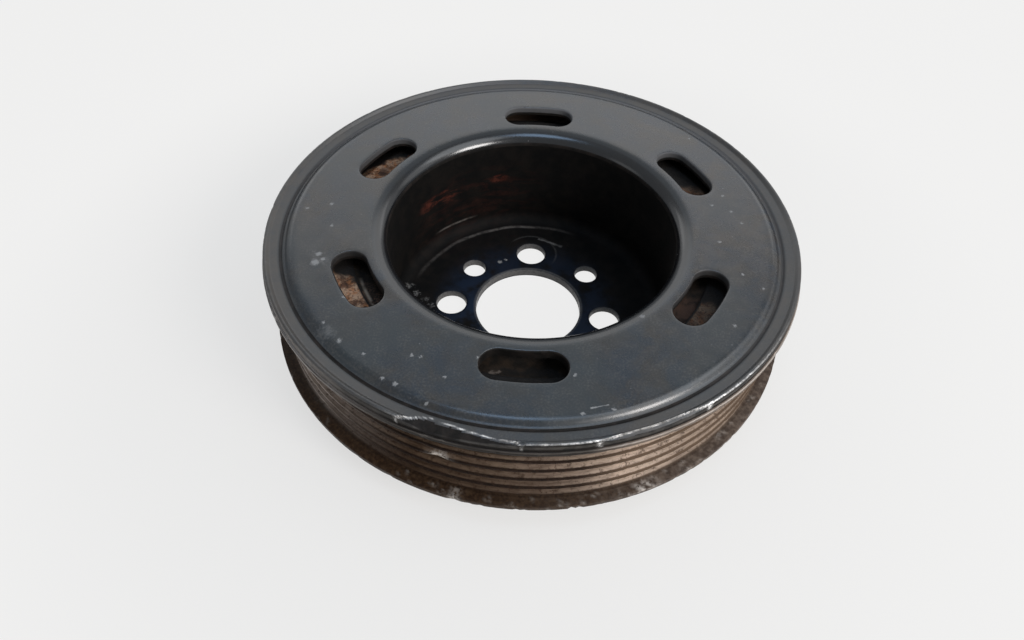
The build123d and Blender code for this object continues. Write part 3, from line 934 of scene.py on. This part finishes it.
# The hub's faces take a slot by their place: 0 paint, 1 cup, 2 edge
middles = np.zeros(len(hub.data.polygons) * 3)
hub.data.polygons.foreach_get("center", middles)
middles = middles.reshape(-1, 3) / MM
span, height = np.hypot(middles[:, 0], middles[:, 1]), middles[:, 2]
in_cup = (span < cup_radius + 0.15) & (height < cup_depth - 4.2)
turned_edge = (span > 69.25) & (height < 34.62)
back = height < flange_back + 0.05
# the crease takes the dark edge finish for its dirt and as painted shade; the windows' walls take it as painted shade
in_crease = (np.abs(span - crease_radius - 0.1) < 0.36) & (height < 34.3)
window_walls = (span > 43.6) & (span < 54.2) & (height < 34.93)
chipped = np.zeros(len(hub.data.vertices))
hub.data.attributes["chipped"].data.foreach_get("value", chipped)
bared = np.array([chipped[list(face.vertices)].mean() > 0.5 for face in hub.data.polygons])
dull = turned_edge | back | in_crease | window_walls | bared
index = np.where(in_cup, 1, np.where(dull, 2, 0)).astype(np.int32)
hub.data.polygons.foreach_set("material_index", index)


# ------------------------------------------------------------------ floor, lights and camera
def floor_piece():
    size = 3.0
    mesh = bpy.data.meshes.new("floor")
    mesh.from_pydata([(-size, -size, 0), (size, -size, 0), (size, size, 0), (-size, size, 0)], [], [(0, 1, 2, 3)])
    made = placed("floor", mesh)
    g = Graph("pale_floor")
    diffuse = g.add("ShaderNodeBsdfDiffuse", {"Color": (0.76, 0.742, 0.705, 1.0)})
    shown = g.add("ShaderNodeEmission", {"Color": (0.887, 0.884, 0.88, 1.0), "Strength": 1.0})
    path = g.add("ShaderNodeLightPath")
    seen = g.most(path.outputs["Is Camera Ray"], path.outputs["Is Glossy Ray"])
    # share of the floor's own colour over what light and shadow fall on it: below the part, at its foot, far off
    below, foot, far = 0.92, 0.74, 0.93
    near = g.blend(g.step(g.r, 50.0, 66.0), below, foot)
    keep = g.product(seen, g.blend(g.step(g.r, 100.0, 170.0), near, far))
    mixed = g.add("ShaderNodeMixShader", {0: keep, 1: diffuse.outputs[0], 2: shown.outputs[0]})
    g.tree.links.new(mixed.outputs[0], g.out.inputs[0])
    mesh.materials.append(g.material)


# The point that the lamps shine at, in metres
aim = Vector((0, 0, 0.02))


def lamp(name, towards, distance, size, level, color=(1.0, 1.0, 1.0), tall=None):
    """A soft lamp seen in a direction from the object, as bright as a surface of that level."""
    data = bpy.data.lights.new(name, "AREA")
    data.color = color
    if tall is None:
        data.shape, data.size = "DISK", size
        area = math.pi * size**2 / 4
    else:
        data.shape, data.size, data.size_y = "RECTANGLE", size, tall
        area = size * tall
    data.energy = level * math.pi * area
    made = placed(name, data)
    at = Vector(towards).normalized() * distance
    made.location = at + aim
    made.rotation_mode = "QUATERNION"
    made.rotation_quaternion = at.to_track_quat("Z", "Y")


def world(level):
    made = bpy.data.worlds.new("studio")
    made.use_nodes = True
    tree = made.node_tree
    tree.nodes.clear()
    new, join = tree.nodes.new, tree.links.new
    out = new("ShaderNodeOutputWorld")
    path = new("ShaderNodeLightPath")
    lit, shown = new("ShaderNodeBackground"), new("ShaderNodeBackground")
    lit.inputs["Color"].default_value = (0.9, 0.95, 1.0, 1.0)
    lit.inputs["Strength"].default_value = level
    shown.inputs["Color"].default_value = (0.855, 0.855, 0.86, 1.0)
    mixed = new("ShaderNodeMixShader")
    join(path.outputs["Is Camera Ray"], mixed.inputs[0])
    join(lit.outputs[0], mixed.inputs[1])
    join(shown.outputs[0], mixed.inputs[2])
    join(mixed.outputs[0], out.inputs[0])
    bpy.context.scene.world = made


def camera():
    data = bpy.data.cameras.new("camera")
    data.sensor_width, data.lens, data.shift_y = 36.0, 28.3226, -0.0036
    data.clip_start, data.clip_end = 0.01, 20.0
    made = placed("camera", data)
    forward, up = Vector((-0.0222959, 0.67210126, -0.74012349)), Vector((-0.0551379, 0.73835411, 0.6721555))
    right = forward.cross(up).normalized()
    turn = Matrix((right, right.cross(forward).normalized(), -forward)).transposed().to_4x4()
    place = Vector((0.7613, -161.4493, 175.3197)) * MM
    made.matrix_world = Matrix.Translation(place) @ turn
    bpy.context.scene.camera = made


floor_piece()
world(0.31)
lamp("front_right", (0.66, -0.54, 0.53), 1.0, 0.44, 13.95, (1.0, 0.97, 0.95))
lamp("between", (0.52, -0.1, 0.84), 1.0, 0.7, 1.71, (0.92, 0.96, 1.0))
lamp("overhead_blue", (-0.03, -0.1, 0.99), 1.0, 0.37, 3.41, (0.45, 0.68, 1.0))
lamp("sky", (0.0, 0.6, 0.8), 1.2, 0.9, 0.232, (0.72, 0.87, 1.0))
lamp("window", (-0.03, 0.9, 0.5), 1.2, 1.9, 0.853, (1.0, 1.0, 1.0), 0.55)
lamp("right", (0.82, 0.15, 0.55), 1.2, 0.8, 0.698)
lamp("left", (-0.9, -0.3, 0.35), 1.2, 0.5, 0.388)
lamp("low_left", (-0.66, 0.7, 0.28), 1.2, 0.7, 0.31)
lamp("low_right", (0.66, 0.7, 0.28), 1.2, 0.7, 0.31)
camera()
bpy.context.scene.view_settings.view_transform = "Standard"
